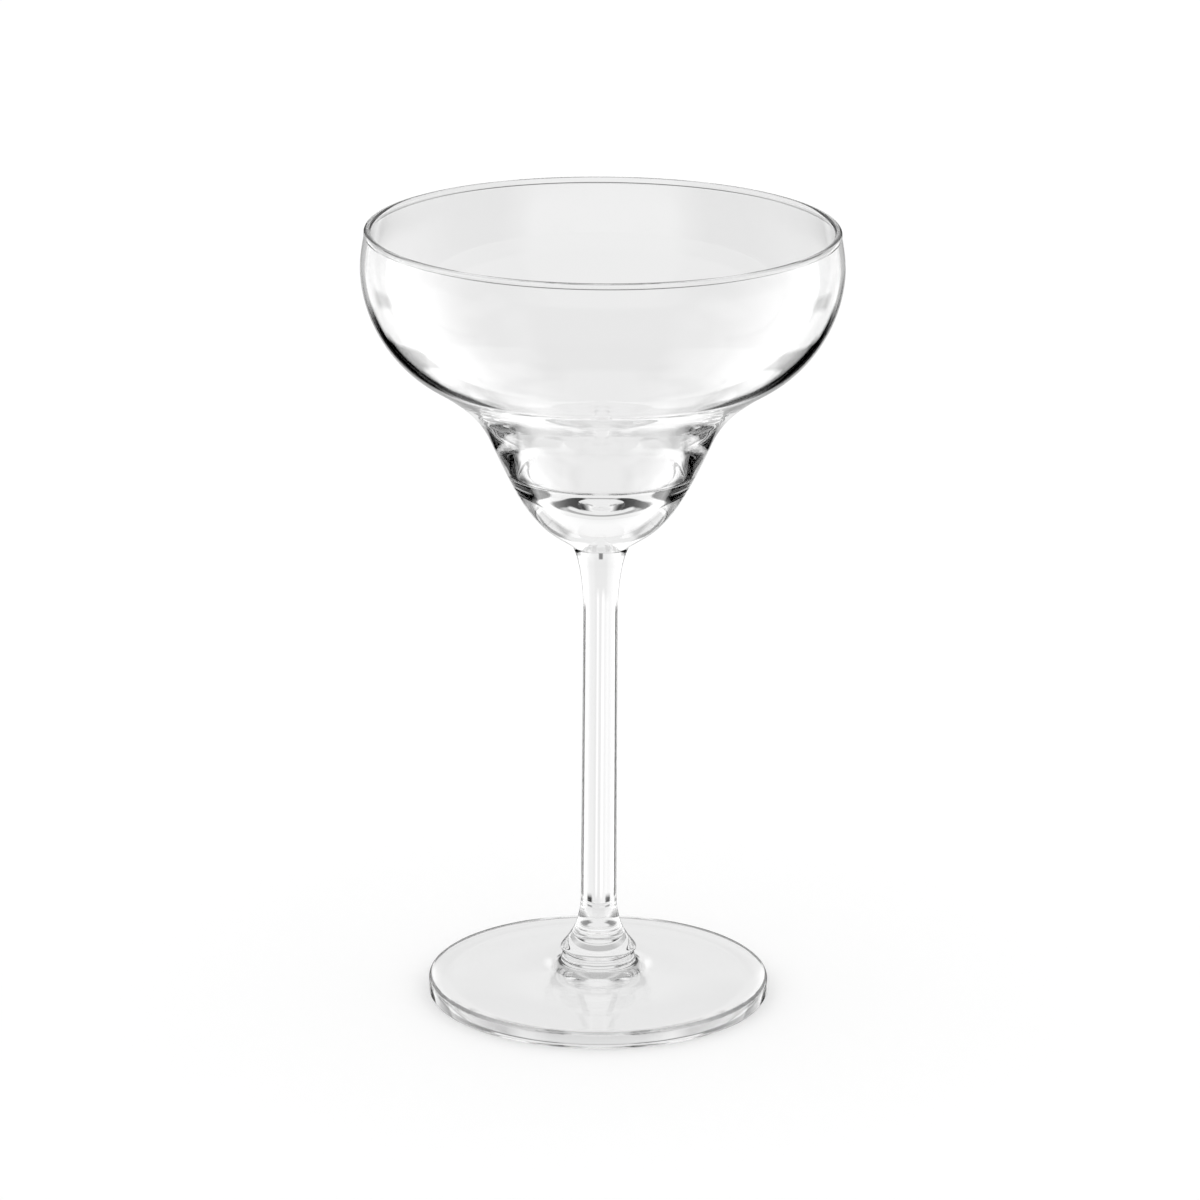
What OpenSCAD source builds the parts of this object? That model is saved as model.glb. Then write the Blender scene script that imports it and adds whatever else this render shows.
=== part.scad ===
// Margarita glass: blown bowl, solid stem and pressed foot, fused one above the other.
// Millimetres, +Z up, origin at the centre of the face that it stands on.

/* [Whole glass] */
// Height from the table to the top of the rim
glass_h = 172; // [160:0.5:190]
// Height of the bowl, from its joint with the stem to the top of the rim
bowl_h = 70.1; // [66:0.1:76]

/* [Bowl, outside] */
// Outside diameter of the rim, at the foot of its rounded top
rim_d = 101.6; // [97:0.2:102.6]
// Angle by which the wall leans in at the rim
rim_lean = 10; // [4:1:16]
// Widest outside diameter of the saucer
belly_d = 103.2; // [102:0.2:110]
// Depth of the widest place below the rim
belly_drop = 8.2; // [6:0.1:12]
// Outside diameter where the saucer turns into the shoulder
shoulder_d = 76.4; // [70:0.2:84]
// Depth of that turn below the rim
shoulder_drop = 32.3; // [29:0.1:36]
// Slope of the wall at that turn, from the horizontal
shoulder_angle = 31; // [24:1:38]
// Outside diameter where the shoulder turns into the well
neck_d = 45.6; // [42:0.2:50]
// Depth of that turn below the rim
neck_drop = 48.8; // [46:0.1:52]
// Slope of the wall at that turn, from the horizontal
neck_angle = 66; // [58:1:74]
// Slope of the bowl's underside where it meets the stem, from the horizontal
underside_angle = 38; // [30:1:46]

/* [Bowl, wall and inside] */
// Thickness of the rim
rim_wall = 1.6; // [1.2:0.1:2.2]
// Height of the rim's rounded top, above its thickest place
rim_round_h = 0.85; // [0.5:0.05:1.2]
// Angle by which the rim's bead turns in below its thickest place
rim_tuck = 37; // [10:1:50]
// Wall at the widest place
belly_wall = 1.2; // [0.9:0.05:1.8]
// Wall where the saucer turns into the shoulder
shoulder_wall = 1.45; // [1:0.05:2.6]
// Wall where the shoulder turns into the well
neck_wall = 2.8; // [2.2:0.1:3.6]
// Slope of the wall's inside there, from the horizontal
neck_inside_angle = 65.6; // [60:0.2:72]
// Wall at the well's corner, where its side turns in to its floor
well_wall = 2.76; // [2.2:0.02:3.2]
// Solid glass between the middle of the well's dished floor and the joint with the stem
floor_t = 11.4; // [9.8:0.1:12.8]
// Diameter of the dish in the well's floor
floor_d = 15.9; // [13.5:0.1:17.5]
// Depth of the dish
floor_rise = 2; // [1.4:0.1:2.6]
// Slope of the floor at the well's corner and at the dish's edge, from the horizontal
floor_angle = 27; // [21:1:33]

/* [Stem] */
// Diameter of the stem's head, at its joint with the bowl
head_d = 12.4; // [11:0.1:14]
// Height over which the head narrows to the waist
head_h = 16; // [12:0.5:20]
// Slope of the head's side at the joint, from the horizontal
head_angle = 62; // [54:1:72]
// Slimmest diameter of the stem
waist_d = 7.4; // [6.6:0.1:8.2]
// Diameter of the stem just above its flared base
shank_d = 7.8; // [7:0.1:8.6]
// Height over which the base narrows to the shank
flare_h = 12; // [9:0.2:16]
// Widest diameter of the flared base
flare_d = 16.6; // [15.4:0.1:18]
// Height of the rounded lip between the foot and the widest place
lip_h = 0.9; // [0.5:0.1:1.3]
// Diameter of the joint between the stem and the foot
joint_d = 14; // [12.6:0.1:14.6]

/* [Foot] */
// Outside diameter of the foot
foot_d = 74.6; // [68:0.2:82]
// Thickness of the foot at its edge
edge_t = 3.8; // [3:0.1:4.6]
// Radius of the edge's upper corner
edge_top_r = 0.8; // [0.4:0.1:1.2]
// Radius of the edge's lower corner
edge_low_r = 0.6; // [0.3:0.1:1.2]
// Height of the foot at its joint with the stem
foot_h = 9.1; // [8.4:0.1:10.4]
// Diameter of the rounded hub under the joint
hub_d = 16.2; // [15:0.1:18]
// Depth of the hub's widest place below the joint
hub_drop = 1.5; // [1:0.1:1.9]
// Diameter at which the hub's fillet runs out into the sloping top
apron_d = 25; // [22:0.5:30]
// Height of the sloping top there
apron_h = 5.9; // [5.2:0.1:6.4]
// Inner diameter of the ring on which the foot stands
bearing_d = 66; // [58:0.5:66.5]
// Rise of the shallow dome under the foot
dome_rise = 1.6; // [0.6:0.1:2.6]
// Slope of the dome where it leaves the ring, from the horizontal
dome_angle = 5; // [2:1:8]

/* [Hidden] */

// Places round the glass, and points along each curve and each rounded corner
turn_steps = 180;
curve_steps = 12;
round_steps = 6;

// Handle lengths at the two ends of each curve, as shares of the straight line between them
rim_shares = [0.33, 0.34];
saucer_shares = [0.36, 0.33];
shoulder_shares = [0.63, 0.21];
well_shares = [0.73, 0.23];
well_inside_shares = [0.776, 0.117];
dish_shares = [0.36, 0.32];
head_shares = [0.34, 0.25];
flare_shares = [0.07, 0.64];
lip_shares = [0.40, 0.34];
hub_shares = [0.34, 0.40];
fillet_shares = [0.24, 0.42];
dome_shares = [0.33, 0.33];

// Handle lengths of the well's sloping floor, as shares of its level run
floor_run_shares = [0.087, 0.84];

// Share of the way down the well's outside at which the inside has its corner
corner_share = 0.1145;

// Angles of a level line, an upright one and one turned right round
level = 0;
upright = 90;
reverse = 180;

// Heights above the table
seam_z = glass_h - bowl_h;
waist_z = seam_z - head_h;
flare_z = foot_h + lip_h;
shank_z = flare_z + flare_h;

// Slope at which the lip and the hub leave the joint between them
joint_angle = 24;

// Direction at an angle from the horizontal, outwards and up; inwards is past upright
function along(angle) = [cos(angle), sin(angle)];

// Direction down a wall of a given slope towards the axis, and square to that wall, inwards
function down(slope) = along(reverse + slope);
function inward(slope) = along(upright + slope);

// Point at share t of the way along the cubic curve with ends a and d and handles b and c
function curve_point(a, b, c, d, t) =
    pow(1 - t, 3) * a + 3 * pow(1 - t, 2) * t * b + 3 * (1 - t) * pow(t, 2) * c + pow(t, 3) * d;

// Ends and handles of the curve from a to d that leaves a along to_b and reaches d along to_d
function handles(a, to_b, d, to_d, shares) =
    let (reach = norm(d - a))
    [a, a + to_b * reach * shares[0], d - to_d * reach * shares[1], d];

// Points of that curve, without d
function curve(a, to_b, d, to_d, shares) =
    let (h = handles(a, to_b, d, to_d, shares))
    [for (i = [0 : curve_steps - 1]) curve_point(h[0], h[1], h[2], h[3], i / curve_steps)];

// Direction in which the cubic curve with ends and handles h runs at share t of the way
function curve_course(h, t) =
    let (run = pow(1 - t, 2) * (h[1] - h[0]) + 2 * (1 - t) * t * (h[2] - h[1]) + pow(t, 2) * (h[3] - h[2]))
    run / norm(run);

// Points of an ellipse's arc, without its last, from turn a1 to turn a2 of its axes u and v
function arc(middle, u, v, a1, a2) =
    [for (i = [0 : round_steps - 1])
        let (a = a1 + (a2 - a1) * i / round_steps)
        middle + u * cos(a) + v * sin(a)];

// The list of points in the opposite order
function reversed(points) = [for (i = [len(points) - 1 : -1 : 0]) points[i]];

// Rim: its slope, the axes of its rounded top, the turn at which that is highest, its middle
rim_slope = upright + rim_lean;
rim_u = -inward(rim_slope) * rim_wall / 2;
rim_v = -down(rim_slope) * rim_round_h;
rim_turn = atan2(rim_v[1], rim_u[1]);
rim_middle = [rim_d / 2 - rim_u[0], glass_h - norm([rim_u[1], rim_v[1]])];

// Stations of the bowl's wall, outside and inside
rim_out = rim_middle + rim_u * cos(rim_tuck) - rim_v * sin(rim_tuck);
rim_in = rim_middle - rim_u * cos(rim_tuck) - rim_v * sin(rim_tuck);
belly_out = [belly_d / 2, glass_h - belly_drop];
belly_in = belly_out + inward(upright) * belly_wall;
shoulder_out = [shoulder_d / 2, glass_h - shoulder_drop];
shoulder_in = shoulder_out + inward(shoulder_angle) * shoulder_wall;
neck_out = [neck_d / 2, glass_h - neck_drop];
neck_in = neck_out + inward(neck_angle) * neck_wall;
seam_out = [head_d / 2, seam_z];
dish_middle = [0, seam_z + floor_t];
dish_edge = [floor_d / 2, dish_middle[1] + floor_rise];

// The well's corner inside, square off the outer wall
well_out = handles(neck_out, down(neck_angle), seam_out, down(underside_angle), well_shares);
corner_out = curve_point(well_out[0], well_out[1], well_out[2], well_out[3], corner_share);
corner_course = curve_course(well_out, corner_share);
corner_in = corner_out + [corner_course[1], -corner_course[0]] * well_wall;

// Handle lengths of the sloping floor, as shares of the straight line along it
floor_shares = floor_run_shares * (corner_in[0] - dish_edge[0]) / norm(corner_in - dish_edge);

// Wall of the saucer and the shoulder, from the rim to the well, outside or inside
function saucer(rim, belly, shoulder, neck, neck_slope) = concat(
    curve(rim, down(rim_slope), belly, down(upright), rim_shares),
    curve(belly, down(upright), shoulder, down(shoulder_angle), saucer_shares),
    curve(shoulder, down(shoulder_angle), neck, down(neck_slope), shoulder_shares)
);

// Outline of the bowl's outside, from the rim down to the joint with the stem
bowl_outside = concat(
    saucer(rim_out, belly_out, shoulder_out, neck_out, neck_angle),
    curve(neck_out, down(neck_angle), seam_out, down(underside_angle), well_shares),
    [seam_out]
);

// Outline of the bowl's inside, from the rim down to the middle of the dish
bowl_inside = concat(
    saucer(rim_in, belly_in, shoulder_in, neck_in, neck_inside_angle),
    curve(neck_in, down(neck_inside_angle), corner_in, down(floor_angle), well_inside_shares),
    curve(corner_in, down(floor_angle), dish_edge, down(floor_angle), floor_shares),
    curve(dish_edge, down(floor_angle), dish_middle, down(level), dish_shares),
    [dish_middle]
);

// The rim's bead, from its outside over the highest place
rim_bead = concat(
    arc(rim_middle, rim_u, rim_v, -rim_tuck, rim_turn),
    arc(rim_middle, rim_u, rim_v, rim_turn, reverse + rim_tuck)
);

// Stations of the stem
joint = [joint_d / 2, foot_h];
flare = [flare_d / 2, flare_z];
shank = [shank_d / 2, shank_z];
waist = [waist_d / 2, waist_z];

// Outline of the stem's side, from the joint with the foot up to the joint with the bowl
stem_side = concat(
    curve(joint, along(joint_angle), flare, along(upright), lip_shares),
    curve(flare, along(upright), shank, along(upright), flare_shares),
    [shank],
    curve(waist, along(upright), seam_out, along(head_angle), head_shares),
    [seam_out]
);

// Foot: the middles of its rounded corners, its hub, and where the hub's fillet ends
edge_low = [foot_d / 2 - edge_low_r, edge_low_r];
edge_top = [foot_d / 2 - edge_top_r, edge_t - edge_top_r];
hub = [hub_d / 2, foot_h - hub_drop];
apron = [apron_d / 2, apron_h];

// Slope of the foot's top, on the line from the fillet's end that just touches the upper corner
apron_line = apron - edge_top;
apron_slope = atan2(apron_line[1], -apron_line[0]) - asin(edge_top_r / norm(apron_line));

// Outline of the foot, from the middle of its dome round the edge and over the hub
foot_outline = concat(
    curve([0, dome_rise], along(level), [bearing_d / 2, 0], along(-dome_angle), dome_shares),
    [[bearing_d / 2, 0]],
    arc(edge_low, [edge_low_r, 0], [0, edge_low_r], -upright, level),
    [[foot_d / 2, edge_low_r]],
    arc(edge_top, [edge_top_r, 0], [0, edge_top_r], level, upright - apron_slope),
    [edge_top + along(upright - apron_slope) * edge_top_r],
    reversed(curve(hub, along(-upright), apron, along(-apron_slope), fillet_shares)),
    reversed(curve(joint, along(-joint_angle), hub, along(-upright), hub_shares)),
    [[0, foot_h]]
);

module turned(outline) {
    rotate_extrude($fn = turn_steps)
        polygon(outline);
}

module bowl() {
    color("azure", 0.35)
        turned(concat([[0, seam_z]], reversed(bowl_outside), rim_bead, bowl_inside));
}

module stem() {
    color("lightcyan", 0.35)
        turned(concat([[0, foot_h]], stem_side, [[0, seam_z]]));
}

module foot() {
    color("paleturquoise", 0.35)
        turned(foot_outline);
}

bowl();
stem();
foot();
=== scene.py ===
"""A clear margarita glass in a bright studio: blown bowl, solid stem and pressed foot.

The three pieces are lathe-turned from outlines in real sizes, and each stands for its CAD solid.
"""

import logging
import math
from abc import ABC, abstractmethod
from dataclasses import dataclass
from enum import Enum
from typing import ClassVar

import bpy
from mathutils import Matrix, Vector


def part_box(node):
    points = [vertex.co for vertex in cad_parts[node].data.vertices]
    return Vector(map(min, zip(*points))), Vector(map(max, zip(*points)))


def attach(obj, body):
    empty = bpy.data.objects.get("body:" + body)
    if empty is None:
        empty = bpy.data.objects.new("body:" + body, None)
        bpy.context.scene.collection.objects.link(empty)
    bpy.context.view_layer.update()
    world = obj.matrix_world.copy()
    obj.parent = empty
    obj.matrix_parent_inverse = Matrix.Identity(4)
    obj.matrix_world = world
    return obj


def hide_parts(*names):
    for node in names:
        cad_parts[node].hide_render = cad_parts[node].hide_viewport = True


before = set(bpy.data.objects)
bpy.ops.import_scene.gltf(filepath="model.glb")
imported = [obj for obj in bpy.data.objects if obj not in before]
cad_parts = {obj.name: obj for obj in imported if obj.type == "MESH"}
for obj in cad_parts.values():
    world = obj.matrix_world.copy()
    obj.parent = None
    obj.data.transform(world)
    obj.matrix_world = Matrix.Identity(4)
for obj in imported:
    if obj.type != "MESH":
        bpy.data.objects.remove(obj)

LOG = logging.getLogger("margarita_glass")

MM = 0.001
LEVEL = 0.0
UPRIGHT = 90.0
REVERSE = 180.0
WELD = 0.0005 * MM
SHARP = 22.0
NODE_GAP = 180
BOUNCES = 32
ANY_BOUNCE = 0.5
WHITE = (1.0, 1.0, 1.0, 1.0)

Outline = list[Vector]
Pair = tuple[float, float]


# Outlines

def along(angle: float) -> Vector:
    """Return the direction at an angle in degrees from the horizontal, outwards and up."""
    turn = math.radians(angle)
    return Vector((math.cos(turn), math.sin(turn)))


def down(slope: float) -> Vector:
    """Return the direction down a wall of a given slope, towards the axis."""
    return along(REVERSE + slope)


def inward(slope: float) -> Vector:
    """Return the direction square to a wall of a given slope, into the bowl."""
    return along(UPRIGHT + slope)


def curve(start: Vector, leave: Vector, end: Vector, arrive: Vector, bend: Pair, steps: int) -> Outline:
    """Sample a cubic curve between two stations, without its last point.

    Args:
        start: The first station, as radius and height.
        leave: The direction in which the curve leaves it.
        end: The last station.
        arrive: The direction in which the curve reaches it.
        bend: The two handles' lengths, as shares of the straight distance.
        steps: The number of points.

    Returns:
        The points, as radius and height.
    """
    reach = (end - start).length
    near = start + leave * reach * bend[0]
    far = end - arrive * reach * bend[1]
    points = []
    for step in range(steps):
        t = step / steps
        s = 1 - t
        points.append(s**3 * start + 3 * s**2 * t * near + 3 * s * t**2 * far + t**3 * end)
    return points


def arc(middle: Vector, u: Vector, v: Vector, turns: Pair, steps: int) -> Outline:
    """Sample an ellipse's arc, without its last point.

    Args:
        middle: The ellipse's middle.
        u: Its half axis at turn 0.
        v: Its half axis at a quarter turn.
        turns: The turns at which the arc starts and ends, in degrees.
        steps: The number of points.

    Returns:
        The points, as radius and height.
    """
    first, last = turns
    points = []
    for step in range(steps):
        turn = math.radians(first + (last - first) * step / steps)
        points.append(middle + u * math.cos(turn) + v * math.sin(turn))
    return points


def straight(start: Vector, end: Vector, steps: int) -> Outline:
    """Return the points of a straight run, without its last one."""
    return [start.lerp(end, step / steps) for step in range(steps)]


# Node helpers

class Link:
    """A node's output with arithmetic: an expression on it adds its Math nodes."""

    def __init__(self, bench: "Bench", socket: bpy.types.NodeSocket) -> None:
        """Keep the socket and the bench that makes its nodes."""
        self.bench = bench
        self.socket = socket

    def apply(self, operation: str, *others: "Link | float") -> "Link":
        """Return this value combined with others by one Math node."""
        return self.bench.add("ShaderNodeMath", {"operation": operation}, self, *others)

    def sibling(self, name: str) -> "Link":
        """Return another output of the same node."""
        return Link(self.bench, self.socket.node.outputs[name])

    def __add__(self, other: "Link | float") -> "Link":
        """Return the sum."""
        return self.apply("ADD", other)

    __radd__ = __add__

    def __mul__(self, other: "Link | float") -> "Link":
        """Return the product."""
        return self.apply("MULTIPLY", other)

    __rmul__ = __mul__

    def __sub__(self, other: "Link | float") -> "Link":
        """Return the difference."""
        return self.apply("SUBTRACT", other)

    def __rsub__(self, other: float) -> "Link":
        """Return a number less this value."""
        return self.bench.add("ShaderNodeMath", {"operation": "SUBTRACT"}, other, self)

    def __truediv__(self, other: "Link | float") -> "Link":
        """Return the quotient."""
        return self.apply("DIVIDE", other)

    def least(self, other: "Link | float") -> "Link":
        """Return the lesser of two values."""
        return self.apply("MINIMUM", other)

    def most(self, other: "Link | float") -> "Link":
        """Return the greater of two values."""
        return self.apply("MAXIMUM", other)

    def above(self, other: "Link | float") -> "Link":
        """Return 1 where this value is the greater one, and 0 elsewhere."""
        return self.apply("GREATER_THAN", other)

    def size(self) -> "Link":
        """Return the value without its sign."""
        return self.apply("ABSOLUTE")


class Bench:
    """A node tree on which nodes are placed from left to right."""

    def __init__(self, tree: bpy.types.NodeTree) -> None:
        """Start on a tree with no nodes."""
        self.tree = tree
        tree.nodes.clear()

    def add(self, kind: str, settings: dict[str, object], *inputs: object, out: int | str = 0,
            **named: object) -> Link | None:
        """Add one node.

        Args:
            kind: The node's type.
            settings: Its settings, such as an operation.
            inputs: Values or links of its sockets, in order.
            out: The output that the result wraps.
            named: Values or links of sockets by name, with _ for a space.

        Returns:
            The chosen output, or None for a node that has none.
        """
        node = self.tree.nodes.new(kind)
        node.location = (len(self.tree.nodes) * NODE_GAP, 0)
        for name, value in settings.items():
            setattr(node, name, value)
        for socket, value in zip(node.inputs, inputs):
            self._feed(socket, value)
        for name, value in named.items():
            self._feed(node.inputs[name.replace("_", " ")], value)
        return Link(self, node.outputs[out]) if node.outputs else None

    def _feed(self, socket: bpy.types.NodeSocket, value: object) -> None:
        """Link or set one socket.

        Args:
            socket: The socket.
            value: A link, or a plain value that the socket takes.
        """
        if isinstance(value, Link):
            self.tree.links.new(value.socket, socket)
        else:
            socket.default_value = value


# Finishes

def new_material(name: str) -> tuple[bpy.types.Material, Bench]:
    """Start a material that has no nodes yet.

    Args:
        name: The material's name.

    Returns:
        The material, and the bench for its nodes.
    """
    made = bpy.data.materials.new(name)
    made.use_nodes = True
    return made, Bench(made.node_tree)


@dataclass(frozen=True)
class ClearGlass:
    """Clear soda glass: its tint and the faint waviness that its making leaves."""

    name: str = "clear_glass"
    tint: float = 0.985
    ior: float = 1.52
    wave_scale: float = 60.0
    wave_detail: float = 2.0
    wave_roughness: float = 0.4
    wave_depth: float = 0.02 * MM

    def material(self) -> bpy.types.Material:
        """Make the finish.

        Returns:
            The material.
        """
        made, bench = new_material(self.name)
        place = bench.add("ShaderNodeTexCoord", {}, out="Object")
        waves = bench.add("ShaderNodeTexNoise", {}, Vector=place, Scale=self.wave_scale,
                          Detail=self.wave_detail, Roughness=self.wave_roughness)
        bump = bench.add("ShaderNodeBump", {}, Strength=1.0, Distance=self.wave_depth, Height=waves)
        colour = (self.tint, self.tint, self.tint, 1.0)
        surface = bench.add("ShaderNodeBsdfPrincipled", {}, Base_Color=colour, Roughness=0.0,
                            IOR=self.ior, Transmission_Weight=1.0, Normal=bump)
        bench.add("ShaderNodeOutputMaterial", {}, surface)
        return made


@dataclass(frozen=True)
class FusedJoint:
    """A fused joint, which light passes as if it weren't there."""

    name: str = "fused_joint"

    def material(self) -> bpy.types.Material:
        """Make the finish.

        Returns:
            The material.
        """
        made, bench = new_material(self.name)
        surface = bench.add("ShaderNodeBsdfTransparent", {})
        bench.add("ShaderNodeOutputMaterial", {}, surface)
        return made


@dataclass(frozen=True)
class PaleFloor:
    """A pale matt floor with a little light of its own, which keeps it white round the shadow."""

    name: str = "floor"
    grey: float = 0.8
    glow: float = 0.23

    def material(self) -> bpy.types.Material:
        """Make the finish.

        Returns:
            The material.
        """
        made, bench = new_material(self.name)
        matt = bench.add("ShaderNodeBsdfDiffuse", {}, (self.grey, self.grey, self.grey, 1.0))
        glow = bench.add("ShaderNodeEmission", {}, WHITE, self.glow)
        both = bench.add("ShaderNodeAddShader", {}, matt, glow)
        bench.add("ShaderNodeOutputMaterial", {}, both)
        return made


# The lathe

class Lathe:
    """Turns an outline about the Z axis with Geometry Nodes."""

    INPUTS: ClassVar[dict[str, str]] = {
        "Outline": "NodeSocketGeometry",
        "Segments": "NodeSocketInt",
        "Weld": "NodeSocketFloat",
        "Glass": "NodeSocketMaterial",
        "Joint": "NodeSocketMaterial",
        "Joint Low": "NodeSocketFloat",
        "Joint High": "NodeSocketFloat",
    }

    def __init__(self, glass: bpy.types.Material, joint: bpy.types.Material) -> None:
        """Build the node group once.

        Args:
            glass: The material of a piece's surface.
            joint: The material of its fused faces.
        """
        self.glass = glass
        self.joint = joint
        self.tree = bpy.data.node_groups.new("turned_on_lathe", "GeometryNodeTree")
        face = self.tree.interface
        self.sockets = {name: face.new_socket(name=name, in_out="INPUT", socket_type=kind)
                        for name, kind in self.INPUTS.items()}
        face.new_socket(name="Turned", in_out="OUTPUT", socket_type="NodeSocketGeometry")
        self._make_nodes()

    def _make_nodes(self) -> None:
        """Place the nodes: a grid whose rows are the outline's points and columns the turns."""
        bench = Bench(self.tree)
        given = bench.add("NodeGroupInput", {})
        outline = given.sibling("Outline")
        segments = given.sibling("Segments")
        weld = given.sibling("Weld")
        count = bench.add("GeometryNodeAttributeDomainSize", {"component": "MESH"}, outline)
        columns = segments + 1
        grid = bench.add("GeometryNodeMeshGrid", {}, Vertices_X=count, Vertices_Y=columns)
        index = bench.add("GeometryNodeInputIndex", {})
        row = (index / columns).apply("FLOOR")
        column = index - row * columns
        turn = column * -math.tau / segments
        place = bench.add("GeometryNodeInputPosition", {})
        station = bench.add("GeometryNodeSampleIndex", {"data_type": "FLOAT_VECTOR", "domain": "POINT"},
                            out="Value", Geometry=outline, Value=place, Index=row)
        radius = bench.add("ShaderNodeSeparateXYZ", {}, station, out="X")
        spot = bench.add("ShaderNodeCombineXYZ", {}, radius * turn.apply("COSINE"),
                         radius * turn.apply("SINE"), radius.sibling("Z"))
        moved = bench.add("GeometryNodeSetPosition", {}, Geometry=grid, Position=spot)
        welded = bench.add("GeometryNodeMergeByDistance", {}, Geometry=moved, Distance=weld)
        smooth = bench.add("GeometryNodeSetShadeSmooth", {}, Geometry=welded, Shade_Smooth=True)
        real = bench.add("GeometryNodeRealizeInstances", {}, smooth)
        glass = bench.add("GeometryNodeSetMaterial", {}, Geometry=real, Material=given.sibling("Glass"))
        height = bench.add("ShaderNodeSeparateXYZ", {}, place, out="Z")
        above_low = (height - given.sibling("Joint Low")).size()
        below_high = (height - given.sibling("Joint High")).size()
        at_joint = weld.above(above_low.least(below_high))
        done = bench.add("GeometryNodeSetMaterial", {}, Geometry=glass, Selection=at_joint,
                         Material=given.sibling("Joint"))
        bench.add("NodeGroupOutput", {}, Turned=done)

    def turn(self, name: str, outline: Outline, segments: int, joints: Pair) -> bpy.types.Object:
        """Turn an outline into a closed mesh.

        Args:
            name: The piece's name.
            outline: Its points, as radius and height, from axis to axis.
            segments: The number of places round the axis.
            joints: The heights of its fused faces.

        Returns:
            The piece, as a plain mesh object.
        """
        line = bpy.data.meshes.new(name + "_outline")
        line.from_pydata([(p.x, 0.0, p.y) for p in outline],
                         [(i, i + 1) for i in range(len(outline) - 1)], [])
        blank = bpy.data.objects.new(name + "_blank", line)
        bpy.context.scene.collection.objects.link(blank)
        modifier = blank.modifiers.new("lathe", "NODES")
        modifier.node_group = self.tree
        values = {"Segments": segments, "Weld": WELD, "Glass": self.glass, "Joint": self.joint,
                  "Joint Low": joints[0], "Joint High": joints[1]}
        for key, value in values.items():
            modifier[self.sockets[key].identifier] = value
        graph = bpy.context.evaluated_depsgraph_get()
        mesh = bpy.data.meshes.new_from_object(blank.evaluated_get(graph), depsgraph=graph)
        mesh.name = name
        mesh.set_sharp_from_angle(angle=math.radians(SHARP))
        bpy.data.objects.remove(blank)
        piece = bpy.data.objects.new(name, mesh)
        bpy.context.scene.collection.objects.link(piece)
        return piece


# The pieces

@dataclass
class Piece(ABC):
    """A turned piece that stands for one CAD solid."""

    name: ClassVar[str]
    segments: int
    steps: int

    @abstractmethod
    def outline(self) -> Outline:
        """Return the piece's outline, from axis to axis."""

    @abstractmethod
    def joints(self) -> Pair:
        """Return the heights of the piece's fused faces."""

    def build(self, lathe: Lathe) -> None:
        """Turn the piece, hand it over for its solid and report it.

        Args:
            lathe: The lathe that turns every piece.
        """
        name = self.name
        made = lathe.turn(name + "_glass", self.outline(), self.segments, self.joints())
        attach(made, "root")
        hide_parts(name)
        LOG.info("%s: %d faces", name, len(made.data.polygons))


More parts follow.
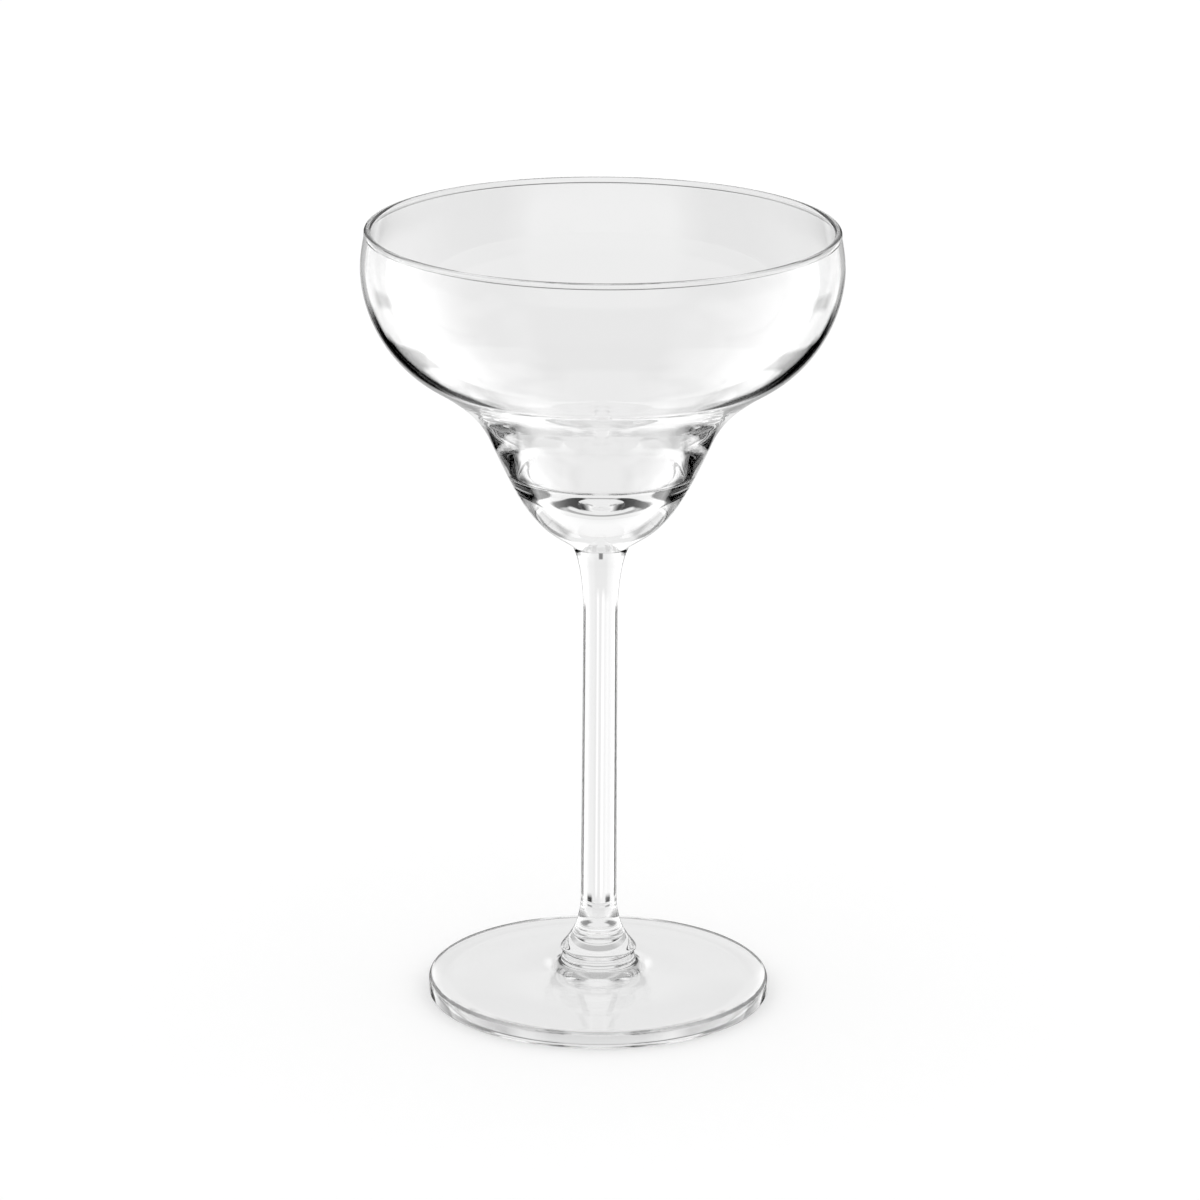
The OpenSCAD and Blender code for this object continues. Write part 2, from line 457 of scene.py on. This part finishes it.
@dataclass
class Bowl(Piece):
    """The blown bowl: saucer, shoulder and well, with a rounded rim.

    A bend is the pair of handles of one curve, and a drop is measured from the rim down.
    """

    name: ClassVar[str] = "bowl"
    segments: int = 256
    steps: int = 40
    rim_steps: int = 16
    rim_r: float = 50.8 * MM
    rim_lean: float = 10.0
    rim_wall: float = 1.6 * MM
    rim_round_h: float = 0.85 * MM
    rim_tuck: float = 37.0
    rim_bend: Pair = (0.33, 0.34)
    belly_drop: float = 8.2 * MM
    belly_wall: float = 1.2 * MM
    belly_bend: Pair = (0.36, 0.33)
    shoulder_r: float = 38.2 * MM
    shoulder_drop: float = 32.3 * MM
    shoulder_angle: float = 31.0
    shoulder_wall: float = 1.45 * MM
    shoulder_bend: Pair = (0.63, 0.21)
    neck_r: float = 22.8 * MM
    neck_drop: float = 48.8 * MM
    neck_angle: float = 66.0
    neck_inside_angle: float = 65.6
    neck_wall: float = 2.8 * MM
    head_r: float = 6.2 * MM
    underside_angle: float = 38.0
    underside_bend: Pair = (0.73, 0.23)
    well_wall: float = 2.76 * MM
    well_bend: Pair = (0.776, 0.117)
    corner_share: float = 0.1145
    floor_r: float = 7.95 * MM
    floor_t: float = 11.4 * MM
    floor_rise: float = 2.0 * MM
    floor_angle: float = 27.0
    floor_bend: Pair = (0.087, 0.84)
    dish_bend: Pair = (0.36, 0.32)

    def joints(self) -> Pair:
        """Return the height of the joint with the stem, twice."""
        low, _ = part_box("bowl")
        return low.z, low.z

    def outline(self) -> Outline:
        """Shape the bowl: up the outside from the joint, over the rim and down the inside.

        Returns:
            The outline, from axis to axis.
        """
        low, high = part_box("bowl")
        slope = UPRIGHT + self.rim_lean
        u = -inward(slope) * self.rim_wall / 2
        v = -down(slope) * self.rim_round_h
        middle = Vector((self.rim_r - u.x, high.z - math.hypot(u.y, v.y)))
        belly = Vector((high.x, high.z - self.belly_drop))
        shoulder = Vector((self.shoulder_r, high.z - self.shoulder_drop))
        neck = Vector((self.neck_r, high.z - self.neck_drop))
        seam = Vector((self.head_r, low.z))
        belly_in = belly + inward(UPRIGHT) * self.belly_wall
        shoulder_in = shoulder + inward(self.shoulder_angle) * self.shoulder_wall
        neck_in = neck + inward(self.neck_angle) * self.neck_wall
        tuck = math.radians(self.rim_tuck)
        under = v * math.sin(tuck)
        outside = self._saucer(middle + u * math.cos(tuck) - under, belly, shoulder, neck, self.neck_angle)
        outside += curve(neck, down(self.neck_angle), seam, down(self.underside_angle),
                         self.underside_bend, self.steps)
        inside = self._saucer(middle - u * math.cos(tuck) - under, belly_in, shoulder_in, neck_in,
                              self.neck_inside_angle)
        inside += self._floor(neck_in, self._corner(neck, seam), low.z)
        top = math.degrees(math.atan2(v.y, u.y))
        rim = (arc(middle, u, v, (-self.rim_tuck, top), self.rim_steps)
               + arc(middle, u, v, (top, REVERSE + self.rim_tuck), self.rim_steps))
        return [Vector((0, low.z)), seam, *reversed(outside), *rim[1:], *inside]

    def _corner(self, neck: Vector, seam: Vector) -> Vector:
        """Find the well's corner inside, square off the outer wall.

        Args:
            neck: The well's top, on the outer wall.
            seam: The outer wall's end at the joint.

        Returns:
            The corner.
        """
        reach = (seam - neck).length
        t = self.corner_share
        s = 1 - t
        first = down(self.neck_angle) * reach * self.underside_bend[0]
        last = down(self.underside_angle) * reach * self.underside_bend[1]
        near, far = neck + first, seam - last
        spot = s**3 * neck + 3 * s**2 * t * near + 3 * s * t**2 * far + t**3 * seam
        course = s**2 * first + 2 * s * t * (far - near) + t**2 * last
        return spot + Vector((course.y, -course.x)).normalized() * self.well_wall

    def _floor(self, neck: Vector, corner: Vector, base: float) -> Outline:
        """Shape the inside from the well's top, round its corner and down to the dish's middle.

        Args:
            neck: The well's top, on the inner wall.
            corner: The well's corner.
            base: The joint's height.

        Returns:
            The points.
        """
        dish = Vector((0.0, base + self.floor_t))
        edge = Vector((self.floor_r, dish.y + self.floor_rise))
        level_run = (corner.x - edge.x) / (corner - edge).length
        slide = down(self.floor_angle)
        floor_bend = (self.floor_bend[0] * level_run, self.floor_bend[1] * level_run)
        return [*curve(neck, down(self.neck_inside_angle), corner, slide, self.well_bend, self.steps),
                *curve(corner, slide, edge, slide, floor_bend, self.steps),
                *curve(edge, slide, dish, down(LEVEL), self.dish_bend, self.steps // 2),
                dish]

    def _saucer(self, rim: Vector, belly: Vector, shoulder: Vector, neck: Vector,
                neck_slope: float) -> Outline:
        """Shape one side of the wall from the rim to the well, without its last point.

        Args:
            rim: Where the wall leaves the rounded rim.
            belly: The saucer's widest place.
            shoulder: The turn below the saucer.
            neck: The well's top.
            neck_slope: The wall's slope there, in degrees.

        Returns:
            The points.
        """
        slope = UPRIGHT + self.rim_lean
        lie = self.shoulder_angle
        return [*curve(rim, down(slope), belly, down(UPRIGHT), self.rim_bend, self.steps // 2),
                *curve(belly, down(UPRIGHT), shoulder, down(lie), self.belly_bend, self.steps),
                *curve(shoulder, down(lie), neck, down(neck_slope), self.shoulder_bend, self.steps)]


@dataclass
class Stem(Piece):
    """The solid stem: flared head, slim waist and flared base with a rounded lip."""

    name: ClassVar[str] = "stem"
    segments: int = 160
    steps: int = 32
    head_r: float = 6.2 * MM
    head_h: float = 16.0 * MM
    head_angle: float = 62.0
    head_bend: Pair = (0.34, 0.25)
    waist_r: float = 3.7 * MM
    shank_r: float = 3.9 * MM
    flare_h: float = 12.0 * MM
    flare_bend: Pair = (0.07, 0.64)
    lip_h: float = 0.9 * MM
    lip_bend: Pair = (0.4, 0.34)
    joint_r: float = 7.0 * MM
    joint_angle: float = 24.0

    def joints(self) -> Pair:
        """Return the heights of the joints with the foot and with the bowl."""
        low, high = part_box("stem")
        return low.z, high.z

    def outline(self) -> Outline:
        """Shape the stem from the joint with the foot up to the joint with the bowl.

        Returns:
            The outline, from axis to axis.
        """
        low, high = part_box("stem")
        joint = Vector((self.joint_r, low.z))
        flare = Vector((high.x, low.z + self.lip_h))
        shank = Vector((self.shank_r, flare.y + self.flare_h))
        waist = Vector((self.waist_r, high.z - self.head_h))
        seam = Vector((self.head_r, high.z))
        return [Vector((0, low.z)),
                *curve(joint, along(self.joint_angle), flare, along(UPRIGHT), self.lip_bend, self.steps),
                *curve(flare, along(UPRIGHT), shank, along(UPRIGHT), self.flare_bend, self.steps),
                *straight(shank, waist, self.steps),
                *curve(waist, along(UPRIGHT), seam, along(self.head_angle), self.head_bend, self.steps),
                seam, Vector((0, high.z))]


@dataclass
class Foot(Piece):
    """The pressed foot: hub, sloping top, rounded edge, bearing ring and shallow dome."""

    name: ClassVar[str] = "foot"
    segments: int = 256
    steps: int = 24
    edge_steps: int = 10
    edge_t: float = 3.8 * MM
    edge_top_r: float = 0.8 * MM
    edge_low_r: float = 0.6 * MM
    joint_r: float = 7.0 * MM
    joint_angle: float = 24.0
    joint_bend: Pair = (0.34, 0.4)
    hub_r: float = 8.1 * MM
    hub_drop: float = 1.5 * MM
    hub_bend: Pair = (0.24, 0.42)
    apron_r: float = 12.5 * MM
    apron_h: float = 5.9 * MM
    bearing_r: float = 33.0 * MM
    dome_rise: float = 1.6 * MM
    dome_angle: float = 5.0
    dome_bend: Pair = (0.33, 0.33)

    def joints(self) -> Pair:
        """Return the height of the joint with the stem, twice."""
        _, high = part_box("foot")
        return high.z, high.z

    def outline(self) -> Outline:
        """Shape the foot from the middle of the dome, round the edge and over the hub.

        Returns:
            The outline, from axis to axis.
        """
        low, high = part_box("foot")
        edge_low = Vector((high.x - self.edge_low_r, low.z + self.edge_low_r))
        edge_top = Vector((high.x - self.edge_top_r, low.z + self.edge_t - self.edge_top_r))
        apron = Vector((self.apron_r, low.z + self.apron_h))
        hub = Vector((self.hub_r, high.z - self.hub_drop))
        joint = Vector((self.joint_r, high.z))
        rise = apron - edge_top
        slope = math.degrees(math.atan2(rise.y, -rise.x) - math.asin(self.edge_top_r / rise.length))
        touch = edge_top + along(UPRIGHT - slope) * self.edge_top_r
        dome = Vector((0, low.z + self.dome_rise))
        ring = Vector((self.bearing_r, low.z))
        fillet = curve(hub, along(-UPRIGHT), apron, along(-slope), self.hub_bend, self.steps)
        shoulder = curve(joint, along(-self.joint_angle), hub, along(-UPRIGHT), self.joint_bend, self.steps)
        return [*curve(dome, along(LEVEL), ring, along(-self.dome_angle), self.dome_bend, self.steps),
                ring,
                *self._round(edge_low, self.edge_low_r, (-UPRIGHT, LEVEL)),
                *self._round(edge_top, self.edge_top_r, (LEVEL, UPRIGHT - slope)),
                *straight(touch, apron, self.steps),
                apron, *reversed(fillet), *reversed(shoulder), Vector((0, high.z))]

    def _round(self, middle: Vector, radius: float, turns: Pair) -> Outline:
        """Return one rounded corner of the edge."""
        return arc(middle, Vector((radius, 0)), Vector((0, radius)), turns, self.edge_steps)


# The studio

class Stand(Enum):
    """Where a card stands: at one side of the glass, or alike at both sides."""

    ONE_SIDE = "one side"
    BOTH_SIDES = "both sides"


@dataclass(frozen=True)
class Way:
    """The direction of a ray that has left the glass, in degrees.

    The azimuth runs from +Y towards +X, aside is the azimuth without its sign, and the elevation
    starts from the horizon.
    """

    azimuth: Link
    aside: Link
    elevation: Link


@dataclass(frozen=True)
class Card:
    """A bright or dark card in the studio, by the directions that it fills from the glass.

    A fade is the width of a soft edge, within the card. A tilted card climbs by its tilt for
    each degree sideways. A level is added to the surround's own, so that a dark card's is negative.
    """

    sides: Pair
    ends: Pair
    side_fades: Pair
    end_fades: Pair
    level: float
    tilt: float = 0.0
    stand: Stand = Stand.BOTH_SIDES

    def cover(self, way: Way) -> Link:
        """Find what the card adds in a direction.

        Args:
            way: The direction.

        Returns:
            The card's level where the direction meets it, and 0 beside it.
        """
        side = (way.aside if self.stand is Stand.BOTH_SIDES else way.azimuth) - self.sides[0]
        end = way.elevation - side * self.tilt if self.tilt else way.elevation
        width = self.sides[1] - self.sides[0]
        edges = (self._edge(side, self.side_fades[0]),
                 self._edge(width - side, self.side_fades[1]),
                 self._edge(end - self.ends[0], self.end_fades[0]),
                 self._edge(self.ends[1] - end, self.end_fades[1]))
        return edges[0] * edges[1] * edges[2] * edges[3] * self.level

    @staticmethod
    def _edge(depth: Link, fade: float) -> Link:
        """Return how far a depth within the card has come through its soft edge, 0 to 1."""
        return (depth / fade).most(0.0).least(1.0)


@dataclass(frozen=True)
class Surround:
    """What one kind of light meets when it leaves the glass: a plain level with cards before it."""

    level: float
    cards: tuple[Card, ...]

    def light(self, way: Way) -> Link:
        """Add up the surround in a direction.

        Args:
            way: The direction.

        Returns:
            The level, which is never below 0.
        """
        total = self.cards[0].cover(way) + self.level
        for card in self.cards[1:]:
            total = total + card.cover(way)
        return total.most(0.0)


@dataclass(frozen=True)
class View:
    """The photograph's camera."""

    sensor: float = 36.0
    lens: float = 168.87
    far: float = 100.0
    place: tuple[float, float, float] = (-0.00013, -1.16533, 0.44233)
    aim: tuple[float, float, float] = (-0.00013, 0.0, 0.08955)
    roll: float = 0.0065

    def build(self) -> None:
        """Make the camera and set it."""
        data = bpy.data.cameras.new("camera")
        data.sensor_width = self.sensor
        data.lens = self.lens
        data.clip_end = self.far
        made = bpy.data.objects.new("camera", data)
        bpy.context.scene.collection.objects.link(made)
        made.location = self.place
        made.rotation_euler = (Vector(self.aim) - made.location).to_track_quat("-Z", "Y").to_euler()
        made.rotation_euler.rotate_axis("Z", self.roll)
        bpy.context.scene.camera = made
        LOG.info("camera: %.2f mm lens", self.lens)


@dataclass
class Studio:
    """World, floor and camera.

    The glass shows three surroundings. Light that passes straight through it shows a pale card
    behind, with dark flags that draw the rim and the stem. Light that bounces within the thick
    glass first shows the dark room beside. Light mirrored by its surface shows the light boxes at
    both sides, with dark gaps before them that draw its edges.
    """

    view: View = View()
    floor_side: float = 4.0
    behind: Surround = Surround(0.87, (
        # The pale card's brighter top, two strips beside its middle, and its left side
        Card((-1.0, 40.0), (22.0, 60.0), (1.0, 30.0), (6.0, 4.0), 0.12),
        Card((2.0, 10.0), (-23.0, -10.0), (3.0, 3.0), (3.0, 3.0), 0.22),
        Card((-24.0, -1.0), (-33.0, -11.0), (5.0, 4.0), (3.0, 3.0), 0.1, stand=Stand.ONE_SIDE),
        # The flags that draw the bowl's sides and the rim's two lines
        Card((15.0, 34.0), (-33.0, -20.5), (4.0, 4.0), (3.0, 2.0), -0.87),
        Card((-1.0, 4.0), (4.0, 20.0), (1.0, 2.0), (2.0, 3.0), -0.7),
        Card((-1.0, 50.0), (-82.0, -57.0), (1.0, 8.0), (4.0, 4.0), -0.75),
        # The flags that draw the stem's two edges
        Card((-80.0, -49.0), (-24.0, -13.0), (4.0, 3.0), (2.0, 2.0), -0.87, stand=Stand.ONE_SIDE),
        Card((46.0, 92.0), (-24.0, -13.0), (10.0, 3.0), (2.0, 2.0), -0.87, stand=Stand.ONE_SIDE),
    ))
    inside: Surround = Surround(0.86, (
        # The dark room at both sides, and its dark places below the horizon
        Card((27.0, 146.0), (-41.0, 22.0), (3.0, 22.0), (2.0, 4.0), -1.0),
        Card((8.0, 30.0), (-31.0, -18.0), (3.0, 3.0), (3.0, 3.0), -1.0),
        Card((-1.0, 10.0), (-31.0, -18.0), (1.0, 3.0), (3.0, 3.0), -0.5),
        Card((11.0, 29.0), (-44.0, -28.0), (3.0, 3.0), (3.0, 3.0), -0.9),
        Card((50.0, 150.0), (-72.0, -52.0), (6.0, 20.0), (4.0, 4.0), -0.6),
        # The dim room above, with one bright patch at each side
        Card((-1.0, 24.0), (20.0, 62.0), (1.0, 12.0), (4.0, 4.0), -0.35),
        Card((20.0, 140.0), (15.0, 62.0), (6.0, 6.0), (4.0, 4.0), -0.35),
        Card((66.0, 112.0), (38.0, 54.0), (8.0, 6.0), (4.0, 4.0), 0.55),
        # The bright room behind the camera
        Card((138.0, 200.0), (-38.0, 24.0), (6.0, 1.0), (6.0, 6.0), 0.2),
    ))
    mirrored: Surround = Surround(0.75, (
        # The light boxes at both sides and low ahead, with a dimmer part at the left rear
        Card((56.0, 150.0), (-84.0, 8.0), (3.0, 80.0), (25.0, 10.0), 2.2),
        Card((27.0, 150.0), (-56.0, 6.0), (5.0, 70.0), (6.0, 8.0), 1.7),
        Card((60.0, 140.0), (-64.0, -50.0), (6.0, 60.0), (6.0, 4.0), 1.5),
        Card((28.0, 60.0), (-90.0, -56.0), (4.0, 6.0), (6.0, 6.0), 1.2),
        Card((-1.0, 18.0), (-60.0, -28.0), (1.0, 4.0), (8.0, 10.0), 1.2),
        Card((-142.0, -92.0), (-52.0, 4.0), (20.0, 20.0), (4.0, 4.0), -1.0, stand=Stand.ONE_SIDE),
        # The dark gaps that draw the saucer's, the well's and the stem's edges
        Card((13.0, 29.0), (-48.0, -12.0), (4.0, 3.0), (4.0, 4.0), -1.0),
        Card((8.0, 28.0), (-15.0, 9.0), (3.0, 3.0), (3.0, 4.0), -0.6),
        Card((22.0, 38.0), (-42.0, -25.0), (4.0, 5.0), (4.0, 3.0), -2.5),
        Card((32.0, 66.0), (-37.0, -27.0), (3.0, 6.0), (2.0, 2.0), -2.7, tilt=-0.36),
        Card((38.0, 66.0), (-21.0, -14.0), (6.0, 8.0), (2.0, 2.0), -1.8),
        # The dark room behind the camera
        Card((134.0, 200.0), (-60.0, 3.0), (12.0, 4.0), (6.0, 3.0), -0.75),
    ))

    def build(self) -> None:
        """Make the whole studio."""
        bpy.context.scene.view_settings.view_transform = "Standard"
        self.view.build()
        self._world()
        self._floor()
        self._light_paths()

    def _world(self) -> None:
        """Make the world: plain white, but for what the glass passes on and mirrors."""
        made = bpy.data.worlds.new("studio")
        bpy.context.scene.world = made
        made.use_nodes = True
        bench = Bench(made.node_tree)
        direction = bench.add("ShaderNodeTexCoord", {}, out="Generated")
        x = bench.add("ShaderNodeSeparateXYZ", {}, direction, out="X")
        azimuth = x.apply("ARCTAN2", x.sibling("Y")).apply("DEGREES")
        elevation = x.sibling("Z").apply("ARCSINE").apply("DEGREES")
        way = Way(azimuth, azimuth.size(), elevation)
        passed = bench.add("ShaderNodeLightPath", {}, out="Is Transmission Ray")
        reflected = passed.sibling("Is Reflection Ray") * (1.0 - passed.sibling("Is Diffuse Ray"))
        bounced = passed.sibling("Glossy Depth").above(ANY_BOUNCE)
        through = self.behind.light(way) * (1.0 - bounced) + self.inside.light(way) * bounced
        beside = self.mirrored.light(way) * reflected + (1.0 - reflected)
        level = through * passed + beside * (1.0 - passed)
        light = bench.add("ShaderNodeBackground", {}, WHITE, level)
        bench.add("ShaderNodeOutputWorld", {}, light)
        cards = sum(len(part.cards) for part in (self.behind, self.inside, self.mirrored))
        LOG.info("world: %d cards", cards)

    def _floor(self) -> None:
        """Make the floor, which the glass doesn't mirror."""
        side = self.floor_side
        mesh = bpy.data.meshes.new("floor")
        square = [(-side, -side, 0), (side, -side, 0), (side, side, 0), (-side, side, 0)]
        mesh.from_pydata(square, [], [(0, 1, 2, 3)])
        mesh.materials.append(PaleFloor().material())
        made = bpy.data.objects.new("floor", mesh)
        bpy.context.scene.collection.objects.link(made)
        made.visible_glossy = False
        made.visible_transmission = False

    @staticmethod
    def _light_paths() -> None:
        """Let light bounce often enough within the thick glass."""
        cycles = bpy.context.scene.cycles
        cycles.max_bounces = BOUNCES
        cycles.glossy_bounces = BOUNCES
        cycles.transmission_bounces = BOUNCES


def main() -> None:
    """Build the glass and its studio."""
    logging.basicConfig(level=logging.INFO, format="%(name)s: %(message)s")
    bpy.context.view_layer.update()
    Studio().build()
    lathe = Lathe(ClearGlass().material(), FusedJoint().material())
    for piece in (Bowl(), Stem(), Foot()):
        piece.build(lathe)


if __name__ == "__main__":
    main()
